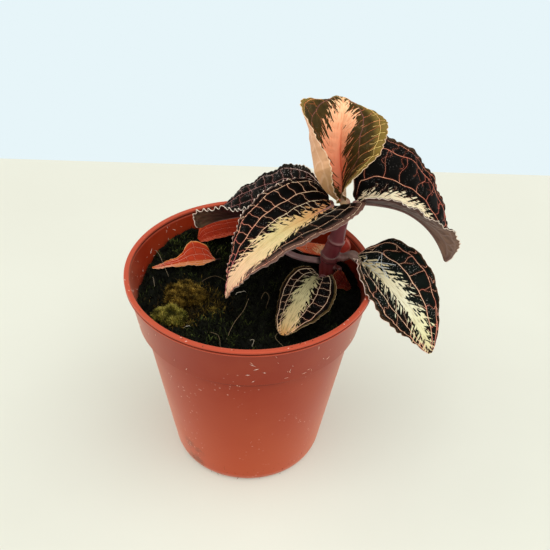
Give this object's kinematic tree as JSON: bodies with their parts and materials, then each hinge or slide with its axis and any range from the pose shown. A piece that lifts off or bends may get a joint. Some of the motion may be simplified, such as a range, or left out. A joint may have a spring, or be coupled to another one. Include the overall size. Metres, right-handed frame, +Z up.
{
  "type": "potted jewel orchid",
  "caption": "Young jewel orchid with patterned, pale-veined leaves on a wine-red stem, growing from moss in a small terracotta-coloured plastic nursery pot.",
  "frame": {"origin": "centre of the pot's base, where the pot's axis meets the surface that it stands on", "axes": "+Z up along the pot's axis, -Y towards the side that the plant is looked at from"},
  "size_m": [0.1211, 0.09, 0.1393],
  "materials": {
    "pot_plastic": "satin",
    "growing_mix": "matte",
    "moss": "matte",
    "stem_skin": "satin",
    "leaf_dark": "satin",
    "leaf_young": "satin",
    "leaf_old": "satin"
  },
  "bodies": {
    "root": {"pot": "pot_plastic", "soil": "growing_mix", "moss_carpet": "moss", "moss_cushion_yellow": "moss", "moss_cushion_green": "moss", "stem": "stem_skin", "leaf_top": "leaf_young", "leaf_right_upper": "leaf_dark", "leaf_front_left": "leaf_dark", "leaf_back_left": "leaf_dark", "leaf_right_lower": "leaf_dark", "leaf_lower_front": "leaf_dark", "leaf_red_wall": "leaf_old", "leaf_red_centre": "leaf_old", "leaf_red_fallen": "leaf_old", "leaf_withered": "leaf_old"}
  },
  "joints": []
}
